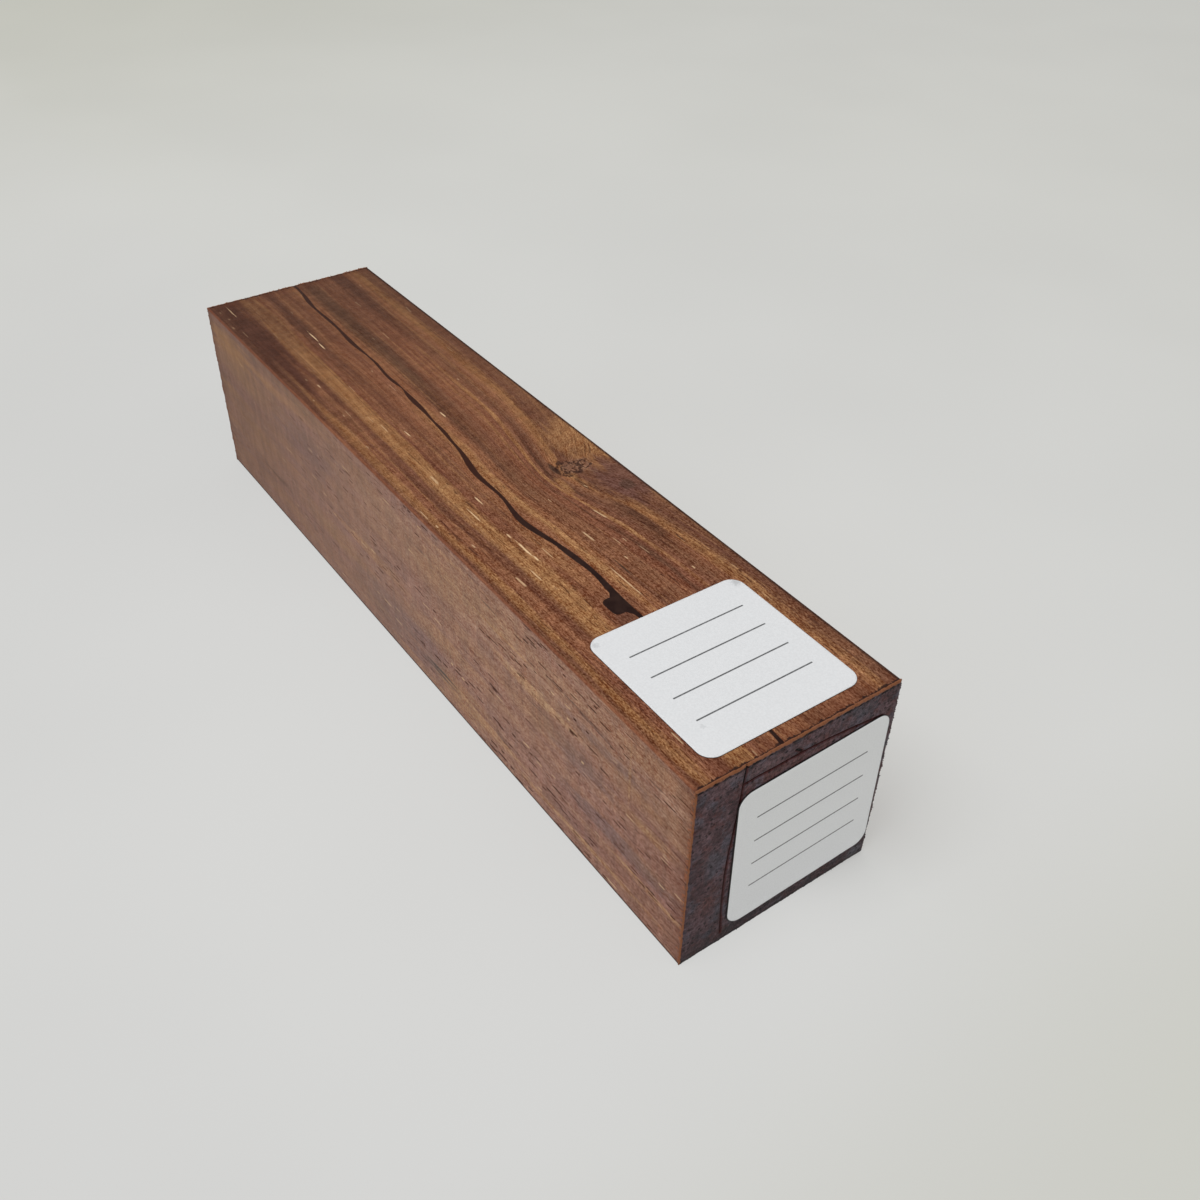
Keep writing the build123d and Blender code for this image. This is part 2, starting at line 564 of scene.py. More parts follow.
def make_hardwood():
    """Striped rosewood: bands that follow the rings, pores along the grain."""
    material, shader, do, vector = new_material("striped_hardwood", "#7a4f38", specular=0.08)
    course = placed(do, grain_course, Vector=vector)
    place, ring, fibre = course["Place"], course["Ring"], course["Fibre"]
    along, across, depth = do.split(place)
    sawn = do.smooth(depth, 0.1, 0.5)

    fibres = do.noise(fibre, (0.05, 0.9, 0.9), detail=4, roughness=0.62)
    grains = do.noise(fibre, (0.5, 2.6, 2.6), roughness=0.6)
    flecks = do.noise(fibre, (1.9, 4.4, 4.4), detail=1, roughness=0.7)
    mottle = do.noise(fibre, (0.55, 0.9, 0.9), detail=3, roughness=0.75)
    striae = do.noise(fibre, (0.009, 1.25, 0.3), detail=3, roughness=0.6)
    broad = do.noise(fibre, (0.022, 0.33, 0.33))
    feather = do.add(do.swing(fibres, 1.4), do.swing(grains, 0.5))

    stops = [((where - ring_start) / ring_span, tone) for where, tone in stripes]
    soft_ring = do.add(ring, feather)
    colour = do.ramp(do.math("DIVIDE", do.add(soft_ring, -ring_start), ring_span), stops)

    # Thin lines that run on
    colour = do.lay(
        colour,
        (do.smooth(broad, 0.42, 0.7, 0, 0.18), "golden"),
        (do.smooth(broad, 0.5, 0.25, 0, 0.22), "red_brown"),
        (do.smooth(striae, 0.53, 0.68, 0, 0.42), "golden"),
        (do.smooth(striae, 0.47, 0.32, 0, 0.48), "#5f3529"),
    )

    # Streaks that end. The sawn side is paler towards the near end.
    wobble = do.swing(do.noise(place, (0.07, 0.6, 0.6)), 0.7)
    by_ring = do.join(along, do.add(ring, do.swing(fibres, 0.8)), depth)
    colour = lay_streaks(do, colour, by_ring, top_streaks, 0, 9, wobble, 0.5)
    colour = do.mix(do.times(sawn, do.smooth(along, 40, 140, 0.6, 0.45)), colour, "sawn")
    paler = do.times(
        do.smooth(along, 40, 130, 0.96, 1.15), do.smooth(along, 140, 172, 1, 0.93))
    colour = do.shade(colour, do.between(sawn, 1, paler))
    near_side = do.smooth(across, 30, 37)
    wavy_depth = do.add(depth, do.swing(fibres, 1.6), do.times(broad, 1.5), -0.75)
    by_depth = do.join(along, wavy_depth, across)
    streaked = lay_streaks(do, colour, by_depth, side_streaks, blank_width, 9, wobble, 0.5)
    colour = do.mix(near_side, colour, streaked)

    # The knot, between a golden flame and a dark one
    ragged = do.add(wobble, do.swing(fibres, 0.4))
    colour = lay_streaks(do, colour, place, knot_patches, 0, 9, ragged, 0.32)
    heart, curls = knot_marks(do, place)
    colour = do.lay(colour, (do.times(heart, 0.6), "#8d6650"), (do.times(curls, 0.85), "#351c16"))

    # The top is calmer towards the far end, and the sawn faces are mauve here
    # and there
    calmer = do.times(do.smooth(along, 70, 10, 0, 0.2), do.less(1, sawn))
    colour = do.mix(calmer, colour, "#7a523a")
    patchy = do.noise(place, (0.035, 0.2, 0.2))
    mauve = do.between(sawn, 1, do.add(do.swing(patchy, 0.35), 1))
    colour = do.vector("MULTIPLY", colour, do.join(1, 1, mauve))

    # Lighter and darker fibres, and saw lines. They are crisper towards the near
    # end, and even along the +Y side.
    even_side = do.times(sawn, do.smooth(across, 5, 1))
    crisper = do.between(even_side, do.smooth(along, 30, 110, 0.25, 1), 0.9)
    finer = do.between(even_side, do.smooth(along, 30, 130, 0.25, 1.55), 1.2)
    soft_texture = do.add(do.swing(fibres, 0.72), do.swing(mottle, 0.5))
    fine_texture = do.add(do.swing(grains, 0.6), do.swing(flecks, 1))
    texture = do.add(soft_texture, do.times(fine_texture, finer))
    sawn_share = do.between(even_side, do.smooth(along, 10, 110, 0.42, 0.7), 0.65)
    gains = [do.between(sawn, *pair) for pair in ((0.82, 0.76), (1.17, 1.25), (1.4, 1.62))]
    colour = do.tinted(colour, do.times(texture, do.between(sawn, 1, sawn_share)), gains)
    saw_marks = do.noise(place, (2.2, 0.06, 0.06))
    sawn_lines = do.smooth(saw_marks, 0.3, 0.7, 0.95, 1.05)
    colour = do.shade(colour, do.between(do.times(sawn, crisper), 1, sawn_lines))
    # Painted sheen: chatoyant ripples across the grain make it lighter and darker
    painted_chatoyance = do.noise(fibre, (0.6, 0.16, 0.16), roughness=0.6)
    far_shade = do.smooth(along, 0, 70, 0.8, 1)
    colour = do.shade(colour, do.times(do.smooth(painted_chatoyance, 0.3, 0.7, 0.9, 1.1), far_shade))

    # Dust of the saw on every face but the sanded top, which also paints a grey sheen of reflected light
    # there
    dust_and_sheen = do.times(do.smooth(along, 0, 90, 0.02, 0.09), do.smooth(along, 140, 172, 1, 0.6))
    colour = do.mix(do.times(dust_and_sheen, sawn), colour, "#b9b3b6")

    # Pores: open ones in clusters, and pale ones that are filled, whose pale tone is also a painted
    # glint
    clusters = do.between(
        sawn, do.smooth(patchy, 0.42, 0.58, 0.3, 1), do.smooth(patchy, 0.46, 0.56, 0.12, 1))
    pores = placed(
        do, vessels, Fibre=fibre, Length=4.2, Spacing=0.7, Radius=do.between(sawn, 0.13, 0.16),
        Share=0.8, Pale_From=do.between(sawn, 0.94, do.between(even_side, 0.91, 0.94)))
    open_pores = do.times(pores["Open"], clusters, crisper)
    colour = do.lay(
        colour,
        (do.times(open_pores, do.between(sawn, 0.65, 0.95)), "#432117"),
        (do.times(pores["Pale"], crisper, 0.6), "glint"),
    )
    broken = do.swing(grains, 0.9)
    colour = lay_streaks(do, colour, place, glinting_vessels, 0, 0.5, broken, 0.3)

    # Sealer soaked into the ends. On the top it is smeared past them, and below that the fibres are torn
    # and red, which also paints a highlight along the near end's arrises.
    from_end = do.to_edge(along, overall_length)
    soaked = do.smooth(do.add(from_end, do.swing(fibres, 4)), 4, 0.3)
    colour = do.mix(do.times(soaked, 0.4), colour, "#5f3220")
    edge_noise = do.noise(place, (1, 1.3, 1.3), detail=3, roughness=0.6)
    smeared = do.smooth(do.add(from_end, do.swing(edge_noise, 0.9)), 0.8, 0.55)
    smear_share = do.math("MULTIPLY_ADD", sawn, -0.6, 0.9)
    colour = do.mix(do.times(smeared, smear_share), colour, "#2c1c1b")
    torn_and_highlit = do.smooth(do.add(from_end, do.swing(edge_noise, 1.6)), 0.95, 0.6)
    dots = do.smooth(do.noise(place, (1.2, 1.9, 1.9), detail=1), 0.44, 0.56)
    near_half = do.smooth(along, 80, 90)
    colour = do.mix(do.times(torn_and_highlit, dots, sawn, near_half, 0.5), colour, "#ab633c")

    # Long arrises: worn red, which is also a painted highlight where they catch the light, and painted
    # shade on the +Y side and along the base
    from_arris = do.math(
        "MAXIMUM", do.to_edge(across, blank_width), do.to_edge(depth, blank_height))
    worn_and_highlit = do.smooth(from_arris, 0.6, 0.2, 0, 0.5)
    shaded_side = do.math("MAXIMUM", do.smooth(across, 1, 0.5), do.smooth(depth, 38.6, 39.2))
    painted_arris_shade = do.times(do.smooth(from_arris, 0.9, 0.4, 0, 0.8), shaded_side)
    colour = do.lay(colour, (worn_and_highlit, "#8b543e"), (painted_arris_shade, "#2c1b17"))

    roughness = do.add(do.smooth(fibres, 0.25, 0.75, 0.42, 0.56), do.times(open_pores, 0.2))
    relief = do.noise(place, (0.8, 3.2, 3.2), roughness=0.6)
    finish_shader(do, shader, colour, roughness, do.times(relief, 0.12))
    return material


def make_resin():
    """Dark filler in the check, smooth, with a few bright flecks in it, which also paint glints of
    light.
    """
    material, shader, do, place = new_material("dark_resin", "#2b2224", specular=0.15)
    point = do.vector("MULTIPLY", place, (1 / MM, 1 / MM, 1 / MM))
    cloud = do.noise(point, (0.4, 0.4, 0.4), detail=3)
    colour = do.mix(do.smooth(cloud, 0.3, 0.7), "#261310", "#341f19")
    browner = do.smooth(do.split(point)[0], -10, 40, 0.85, 0)
    # Painted glints: the bright flecks stand also for light caught on the filler
    flecks = placed(
        do, vessels, Fibre=point, Length=0.9, Spacing=1.2, Radius=0.13,
        Share=0, Pale_From=0.78)["Pale"]
    colour = do.lay(colour, (browner, "#3d1b0e"), (do.times(flecks, 0.8), "#a8916f"))
    roughness = do.smooth(cloud, 0.3, 0.7, 0.34, 0.5)
    finish_shader(do, shader, colour, roughness, do.times(cloud, 0.05), strength=0.6)
    return material


# Patches of the near end's wax: distance from the -Y side and below the top, half width, half height,
# strength and tone. The pale and grey ones are partly a painted sheen, and the dark one below the end
# label is painted shadow.
wax_patches = [
    (6.2, 1.2, 2.6, 0.9, 0.6, "pale_wax"),
    (13.5, 2.3, 5, 1.2, 0.55, "pale_wax"),
    (31.8, 2.1, 3, 1.5, 0.6, "slate_wax"),
    (19, 5, 11, 0.9, 0.6, "red_wax"),
    (4.8, 18.5, 2, 3.4, 0.65, "slate_wax"),
    (4, 28, 3, 3, 0.35, "red_wax"),
    # Painted shadow below the end label's curl
    (13, 37.8, 6, 1.2, 0.6, "dark_wax"),
    (37.4, 37.8, 2.4, 1.6, 0.8, "ashen_wax"),
]


def make_wax():
    """Dark wax over end grain: cloudy, with pores that show as dark dots, and
    red-brown along its cracks, which the attribute says. Bare wood shows at
    the rim's top and -Y side."""
    material, shader, do, vector = new_material("sealing_wax", "#453a3c", specular=0.06)
    place = placed(do, grain_course, Vector=vector)["Place"]
    along, across, depth = do.split(place)
    from_left = do.less(blank_width, across)
    point = do.vector("MULTIPLY", place, (0.25, 1, 1))

    def apart(shift, stretch, detail, roughness):
        """Noise that has nothing to do with the others, by its own shift."""
        return do.noise(do.vector("ADD", point, shift), stretch, detail, roughness)

    clouds = do.noise(point, (0.33, 0.33, 0.33), detail=4, roughness=0.65)
    # Blooms: blue-grey clouds of the wax, partly a painted sheen of reflected light
    blooms_and_sheen = apart((7, 3, 11), (0.2, 0.24, 0.24), detail=3, roughness=0.65)
    embers = apart((5, 23, 2), (0.3, 0.5, 0.5), detail=3, roughness=0.65)
    smears = apart((2, 9, 5), (0.4, 0.5, 1.3), detail=4, roughness=0.7)
    grains = do.noise(point, (1.5, 1.5, 1.5), detail=4, roughness=0.8)
    colour = do.lay(
        do.mix(do.smooth(clouds, 0.38, 0.62), "#432e32", "#5d494e"),
        (do.smooth(embers, 0.48, 0.64, 0, 0.65), "#51302e"),
        (do.smooth(blooms_and_sheen, 0.46, 0.64, 0, 0.6), "#4b4c57"),
    )
    ragged = do.add(do.swing(clouds, 0.8), do.swing(grains, 0.6))
    colour = lay_streaks(
        do, colour, do.join(from_left, depth, along), wax_patches, overall_length, 9, ragged, 0.5)
    rough_texture = do.add(do.swing(grains, 2), do.swing(smears, 1))
    colour = do.shade(colour, do.math("MAXIMUM", do.add(rough_texture, 1), 0.3))
    # Painted shade: darker towards the bottom, most below the end label's curl and along the floor
    for start, end, shade in ((20, 36, 0.85), (34, 37, 0.75), (38.7, 39.3, 0.4)):
        colour = do.shade(colour, do.smooth(depth, start, end, 1, shade))
    pores = placed(
        do, vessels, Fibre=point, Length=3, Spacing=1.1, Radius=0.19,
        Share=0.6, Pale_From=1)["Open"]
    colour = do.mix(do.times(pores, 0.9), colour, "#12090a")

    crack = do.node("ShaderNodeAttribute", {}, attribute_name="crack").outputs["Fac"]
    rough_crack = do.add(crack, do.swing(grains, 0.5))
    core = do.mix(do.smooth(depth, 3.3, 3.9), "#0b0607", "#2c0f0e")
    colour = do.lay(
        colour,
        (do.smooth(rough_crack, 0.2, 0.65, 0, 0.6), "#4a1d1a"),
        (do.smooth(crack, 0.6, 0.85, 0, 0.97), core),
    )

    rim_noise = do.noise(point, (1.2, 1.2, 1.2), detail=3)
    from_rim = do.math("MINIMUM", depth, do.times(from_left, 1.8))
    bare = do.smooth(do.add(from_rim, do.swing(rim_noise, 0.35)), 0.42, 0.26, 0, 0.85)
    # Painted shadow: a broken dark line just below the rim's top
    off_line = do.math("ABSOLUTE", do.add(depth, do.swing(rim_noise, 0.3), -0.6))
    painted_rim_shadow = do.smooth(off_line, 0.28, 0.12)
    broken = do.smooth(rim_noise, 0.42, 0.55, 0.25, 0.95)
    colour = do.lay(colour, (bare, "#8f5b3c"), (do.times(painted_rim_shadow, broken), "#150b0b"))
    roughness = do.smooth(clouds, 0.3, 0.7, 0.36, 0.55)
    height = do.add(do.times(clouds, 0.14), do.times(grains, 0.18))
    finish_shader(do, shader, colour, roughness, height)
    return material


# Labels. The ruled lines lie at these heights above a label's middle.
label_side = 30
label_corner = 2.5
ruled_heights = (8.4, 3, -2.4, -7.8)
ruled_half_length = 11.2
ruled_half_width = 0.14

# Grey finger marks on the top label: place along, across, reach and strength
finger_marks = [
    (141.5, 5.6, 0.9, 0.4),
    (141.2, 33.6, 0.7, 0.25),
    (164, 31, 0.5, 0.15),
]


def make_ruled_lines():
    """A mask of printed lines on a label whose map runs from 0 to 1."""
    tree, do, given, put = effect_group(
        "ruled_lines",
        {"Map": "Vector", "Half Length": "Float", "Half Width": "Float"},
        {"Mask": "Float"},
    )
    centred = do.vector("SUBTRACT", given["Map"], (0.5, 0.5, 0))
    right, up, _ = do.split(do.vector("MULTIPLY", centred, (label_side,) * 3))
    past_end = do.less(do.math("ABSOLUTE", right), given["Half Length"])
    within = do.smooth(past_end, 0.05, -0.05)
    mask = 0
    for height in ruled_heights:
        off = do.math("DIVIDE", do.math("ABSOLUTE", do.add(up, -height)), given["Half Width"])
        mask = do.math("MAXIMUM", mask, do.smooth(off, 1.35, 0.65))
    do.feed(put["Mask"], do.times(mask, within))
    return tree


def make_paper():
    """White label paper, semi-matt, with ruled lines, grey marks, and a painted shadow at its edge and
    round its foot, which the attribute says."""
    material, shader, do, vector = new_material("label_paper", "#e4e5e8", specular=0.35)
    place = placed(do, grain_course, Vector=vector)["Place"]
    sheet = do.node("ShaderNodeUVMap", {}, uv_map="sheet").outputs[0]
    fibres = do.noise(place, (3.5, 3.5, 3.5), detail=3)
    colour = do.mix(do.smooth(fibres, 0.3, 0.7), "#e2e3e6", "#e8e9ec")
    for along, across, reach, strength in finger_marks:
        level = do.less(1.3, do.swing(fibres, 0.8))
        mark = patch_mask(do, place, (along, across, 0), (reach, reach, 1), level, 1, strength)
        colour = do.mix(mark, colour, "#8d8e92")
    lines = placed(
        do, make_ruled_lines(), Map=sheet,
        Half_Length=ruled_half_length, Half_Width=ruled_half_width)["Mask"]
    ink = do.times(lines, do.smooth(fibres, 0.3, 0.6, 0.75, 0.9))
    # Painted shadow at the paper's edge and round its foot
    edge_shadow = do.node("ShaderNodeAttribute", {}, attribute_name="edge_shadow").outputs["Fac"]
    colour = do.lay(colour, (ink, "#2b2b2e"), (do.smooth(edge_shadow, 0.2, 0.9), "#1c1412"))
    roughness = do.smooth(fibres, 0.3, 0.7, 0.5, 0.6)
    finish_shader(do, shader, colour, roughness, do.times(fibres, 0.01), strength=0.5)
    return material


hardwood = make_hardwood()
resin = make_resin()
wax = make_wax()
paper = make_paper()


# Stage

floor_reach = 4.0
floor_drop = 0.00012
floor_tone = (0.745, 0.747, 0.742)
shown_tone = 0.67
horizon_tone = 0.625
backdrop_white = (1.0, 0.995, 0.965, 1.0)
lamp_target = Vector((0.0, 0.0, 0.02))


def make_floor():
    """A plain pale floor, wide enough to fill every view. The camera sees part of its light and part of
    an even tone, which keeps the shadows soft, most of all before the blank. The tone falls off a little
    away from it, and is darker near the camera and far to the left: a painted falloff of light."""
    mesh = bpy.data.meshes.new("floor")
    ways = ((-1, -1), (1, -1), (1, 1), (-1, 1))
    corners = [(floor_reach * x, floor_reach * y, -floor_drop) for x, y in ways]
    mesh.from_pydata(corners, [], [(0, 1, 2, 3)])
    floor = new_object("floor", mesh)
    material, shader, do, place = new_material("floor_board", "#dededc", specular=0.2)
    cloud = do.noise(place, (9.0, 9.0, 9.0))
    away = do.length(do.vector("SUBTRACT", place, (0.03, 0.0, 0.0)))
    # Painted falloff of light: brighter about the blank, darker near the camera and far to the left, and
    # warmer away from the blank
    painted_fall_off = do.times(
        do.smooth(away, 0.04, 0.16, 1.0, 0.96), do.smooth(away, 0.1, 0.55, 1.0, 0.965))
    along, across, _ = do.split(place)
    far_left = do.smooth(do.add(along, do.times(across, 0.25)), -0.2, -0.55)
    near_camera = do.times(do.smooth(along, 0.09, 0.155), do.smooth(away, 0.45, 0.2))
    close_by = do.smooth(away, 1.1, 0.6)
    ends = do.add(near_camera, do.times(far_left, close_by))
    uneven = do.smooth(cloud, 0.3, 0.7, 0.985, 1.015)
    tone = do.times(uneven, painted_fall_off, do.between(ends, 1.0, 0.92))
    less_blue = do.times(do.smooth(away, 0.08, 0.4, 0.985, 0.96), do.between(ends, 1.0, 0.95))
    warmer = do.join(1.0, 1.0, less_blue)
    do.feed(shader.inputs["Base Color"], do.shade(do.vector("MULTIPLY", warmer, floor_tone), tone))
    shader.inputs["Roughness"].default_value = 0.8
    even = do.node("ShaderNodeEmission", {"Color": do.shade(warmer, tone), "Strength": shown_tone})
    behind = do.smooth(across, 0.0, 0.025, 0.85, 0.48)
    share = do.times(seen_by_camera(do), do.between(close_by, 0.85, behind))
    output = material.node_tree.nodes["Material Output"]
    mixed = do.node("ShaderNodeMixShader", {0: share, 1: shader.outputs[0], 2: even.outputs[0]})
    do.feed(output.inputs["Surface"], mixed.outputs[0])
    mesh.materials.append(material)


def seen_by_camera(do):
    """1 for what the camera sees, straight, in a gloss or through glass."""
    path = do.node("ShaderNodeLightPath").outputs
    seen = do.math("MAXIMUM", path["Is Camera Ray"], path["Is Glossy Ray"])
    return do.math("MAXIMUM", seen, path["Is Transmission Ray"])


def make_world(strength):
    """Even white light all round, which the camera sees as a pale backdrop
    that darkens well above the horizon."""
    world = bpy.data.worlds.new("studio")
    bpy.context.scene.world = world
    world.use_nodes = True
    do = Recipe(world.node_tree)
    background = world.node_tree.nodes["Background"]
    up = do.split(do.node("ShaderNodeTexCoord").outputs["Generated"])[2]
    backdrop = do.smooth(up, 0.15, 0.5, horizon_tone, 0.2)
    seen = seen_by_camera(do)
    lit = do.math("MULTIPLY_ADD", do.add(backdrop, -strength), seen, strength)
    do.feed(background.inputs["Color"], backdrop_white)
    do.feed(background.inputs["Strength"], lit)


def make_lamp(name, place, size, power, colour):
    """A square soft lamp that faces the middle of the blank."""
    data = bpy.data.lights.new(name, "AREA")
    data.shape = "SQUARE"
    data.size = size
    data.energy = power
    data.color = colour
    aim(new_object(name, data), place, lamp_target)


make_floor()
make_world(strength=0.64)
make_lamp(
    "side_softbox", Vector((0.05, -0.5, 1.1)), size=0.6, power=5.1, colour=(0.97, 0.985, 1.0))


# Meshes

def fractal(y, z, scale, seed):
    """Smooth random height between about -1 and 1."""
    return noise.fractal(Vector((y * scale, z * scale, seed)), 1.0, 2.0, 3)


def to_segment(point, start, end):
    """Distance from a point to a segment, both in a plane."""
    run = end - start
    share = max(0.0, min(1.0, (point - start).dot(run) / run.length_squared))
    return (point - start - run * share).length


def make_piece(name, points, faces):
    """A mesh object from points in millimetres."""
    mesh = bpy.data.meshes.new(name)
    mesh.from_pydata([Vector(point) * MM for point in points], [], faces)
    mesh.validate()
    return new_object(name, mesh)


def mark(piece, name, values):
    """Keeps a number for each point of a piece."""
    attribute = piece.data.attributes.new(name, "FLOAT", "POINT")
    attribute.data.foreach_set("value", values)


def border_of(rows, columns):
    """The border of a grid, once round, as (row, column) pairs."""
    border = [(0, column) for column in range(columns - 1)]
    border += [(row, columns - 1) for row in range(rows - 1)]
    border += [(rows - 1, column) for column in range(columns - 1, 0, -1)]
    border += [(row, 0) for row in range(rows - 1, 0, -1)]
    return border


def grid_faces(rows, columns, flip):
    """Faces between the points of a grid."""
    faces = []
    for r in range(rows - 1):
        for c in range(columns - 1):
            a = r * columns + c
            face = (a, a + 1, a + columns + 1, a + columns)
            faces.append(face[::-1] if flip else face)
    return faces


def wall_faces(first, second, flip):
    """Faces between two loops of vertices."""
    pairs = list(zip(first, second))
    faces = [(a, b, d, c) for (a, b), (c, d) in zip(pairs, pairs[1:] + pairs[:1])]
    return [face[::-1] for face in faces] if flip else faces


def fan_faces(loop, middle, flip):
    """Faces from a loop of vertices to the one in its middle."""
    faces = [(a, b, middle) for a, b in zip(loop, loop[1:] + loop[:1])]
    return [face[::-1] for face in faces] if flip else faces


def dress(piece, material, node=None, smooth=True):
    """Gives a finished piece its material, body, slot and CAD node."""
    piece.data.materials.clear()
    piece.data.materials.append(material)
    if smooth:
        piece.data.shade_smooth()
    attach(piece, "root")
    if node:
        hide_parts(node)


# End seals: wax with a ragged rim. Cracks are paths of points, each given by
# its distance from the -Y edge and below the top.
near_cracks = [
    [(9, 0), (8.7, 4), (8.4, 10), (7.6, 18), (7.4, 23), (7.5, 30), (8, 37.5)],
    [(9, 3.8), (15, 3.85), (20, 3.9), (25, 4.2), (30, 4.75), (34, 5.3), (36.5, 5.7)],
    [(18.4, 2.6), (18.9, 3), (19.4, 3.4), (20.1, 3.9)],
    [(18.8, 2.6), (19.8, 3.5)],
]
crack_half_width = 0.15
crack_depth = 0.22
crack_stain = 0.5
crack_roughness = 0.06

# The wax's grid, closer together where its cracks run
coarse_step = 0.26
fine_step = 0.11
fine_across = (7.0, 9.3)
fine_down = (3.0, 5.2)

# The wax's face lies a little under the CAD one, and falls off at the rim.
# There it turns back over the arris and ends in the wood: how far behind the
# face each turn lies, and how much of the rim's offset it keeps. Waves are
# given by their height and by how quickly they change.
seal_thickness = seal_high.x - blank_high.x
face_drop = 0.05
rim_drop = 0.12
rim_width = 0.5
face_waves = ((0.035, 0.3), (0.02, 1.6))
rim_turns = [(0.26, 1.0), (0.1 + 0.8 * seal_thickness, 0.8), (0.14 + seal_thickness, 0.0)]
tucked_share = 0.995
corner_reach = 1.2

# Sides of an end: length, how far the rim leans out and how far it wanders,
# and how thickly crumbs of wax and torn fibre lie along it
rim_sides = {
    "minus_y": (blank_height, -0.02, 0.14, 0.25),
    "plus_y": (blank_height, 0.08, 0.26, 0.8),
    "top": (blank_width, 0.03, 0.16, 0.5),
    "bottom": (blank_width, -0.08, 0.24, 0.6),
}


def spaced(length, fine_from, fine_to):
    """Stations from 0 to a length, closer together over one stretch."""
    stations = [0.0]
    while stations[-1] < length - coarse_step * 0.6:
        step = fine_step if fine_from <= stations[-1] < fine_to else coarse_step
        stations.append(stations[-1] + step)
    stations[-1] = length
    return stations


def rim_offset(place, side, seed):
    """How far the rim stands out at one place on one side of the end."""
    length, lean, reach, _ = rim_sides[side]
    seed += list(rim_sides).index(side)
    coarse = noise.fractal(Vector((place * 0.7, seed, 0.3)), 1.0, 2.0, 4)
    fine = noise.noise(Vector((place * 2.6, seed, 4.7)))
    from_corner = min(place, length - place) / corner_reach
    return (lean + reach * (0.6 * coarse + 0.6 * fine)) * min(1.0, from_corner)


def make_seal(name, outward, cracks, seed, node):
    """Wax over one end. Outward is 1 at the near end and -1 at the far one."""
    columns = spaced(blank_width, *fine_across)
    rows = spaced(blank_height, *fine_down)
    paths = [[Vector(point) for point in path] for path in cracks]
    face_x = blank_high.x + seal_thickness
    points, stain = [], []

    def cracked(point):
        """Distance to the nearest crack, roughened a little."""
        segments = (pair for path in paths for pair in zip(path, path[1:]))
        nearest = min((to_segment(point, *pair) for pair in segments), default=math.inf)
        rough = noise.noise(Vector((point.x * 2.1, point.y * 2.1, seed)))
        return max(0.0, nearest + crack_roughness * rough)

    def stands(across, down):
        """The rim's offset at a place on the border, as (y, z)."""
        y = z = 0.0
        if across == 0:
            y = -rim_offset(down, "minus_y", seed)
        if across == blank_width:
            y = rim_offset(down, "plus_y", seed)
        if down == 0:
            z = rim_offset(across, "top", seed)
        if down == blank_height:
            z = -rim_offset(across, "bottom", seed)
        return y, z

    for down in rows:
        for across in columns:
            near_rim = min(across, blank_width - across, down, blank_height - down)
            inward = max(0.0, 1 - near_rim / rim_width)
            distance = cracked(Vector((across, down)))
            groove = max(0.0, 1 - distance / (2 * crack_half_width))
            waves = sum(height * fractal(across, down, pace, seed) for height, pace in face_waves)
            relief = min(0.0, waves - face_drop) - crack_depth * groove
            relief -= inward ** 2 * (rim_drop + 0.06 * fractal(across, down, 1.1, seed + 5))
            shift_y, shift_z = stands(across, down)
            y = across - blank_width / 2 + shift_y
            z = blank_height - down + shift_z
            points.append((outward * (face_x + relief), y, z))
            stain.append(max(0.0, 1 - distance / crack_stain))

    border = border_of(len(rows), len(columns))
    front = [r * len(columns) + c for r, c in border]
    faces = grid_faces(len(rows), len(columns), outward > 0)
    previous = front
    for back, keep in rim_turns:
        current = []
        for r, c in border:
            shift_y, shift_z = stands(columns[c], rows[r])
            y = columns[c] - blank_width / 2 + shift_y * keep
            z = blank_height - rows[r] + shift_z * keep
            if keep == 0.0:
                y *= tucked_share
                z = blank_height / 2 + (z - blank_height / 2) * tucked_share
            current.append(len(points))
            points.append((outward * (face_x - back), y, z))
            stain.append(0.0)
        faces += wall_faces(previous, current, outward > 0)
        previous = current
    centre = len(points)
    points.append((outward * (face_x - rim_turns[-1][0]), 0.0, blank_height / 2))
    stain.append(0.0)
    faces += fan_faces(previous, centre, outward < 0)

    piece = make_piece(name, points, faces)
    mark(piece, "crack", stain)
    dress(piece, wax, node)


# Crumbs along a rim. They lie at a share of the wax's thickness.
crumb_spacing = 0.45
crumb_size = 0.13
crumb_sink = 0.05
crumb_level = 0.55


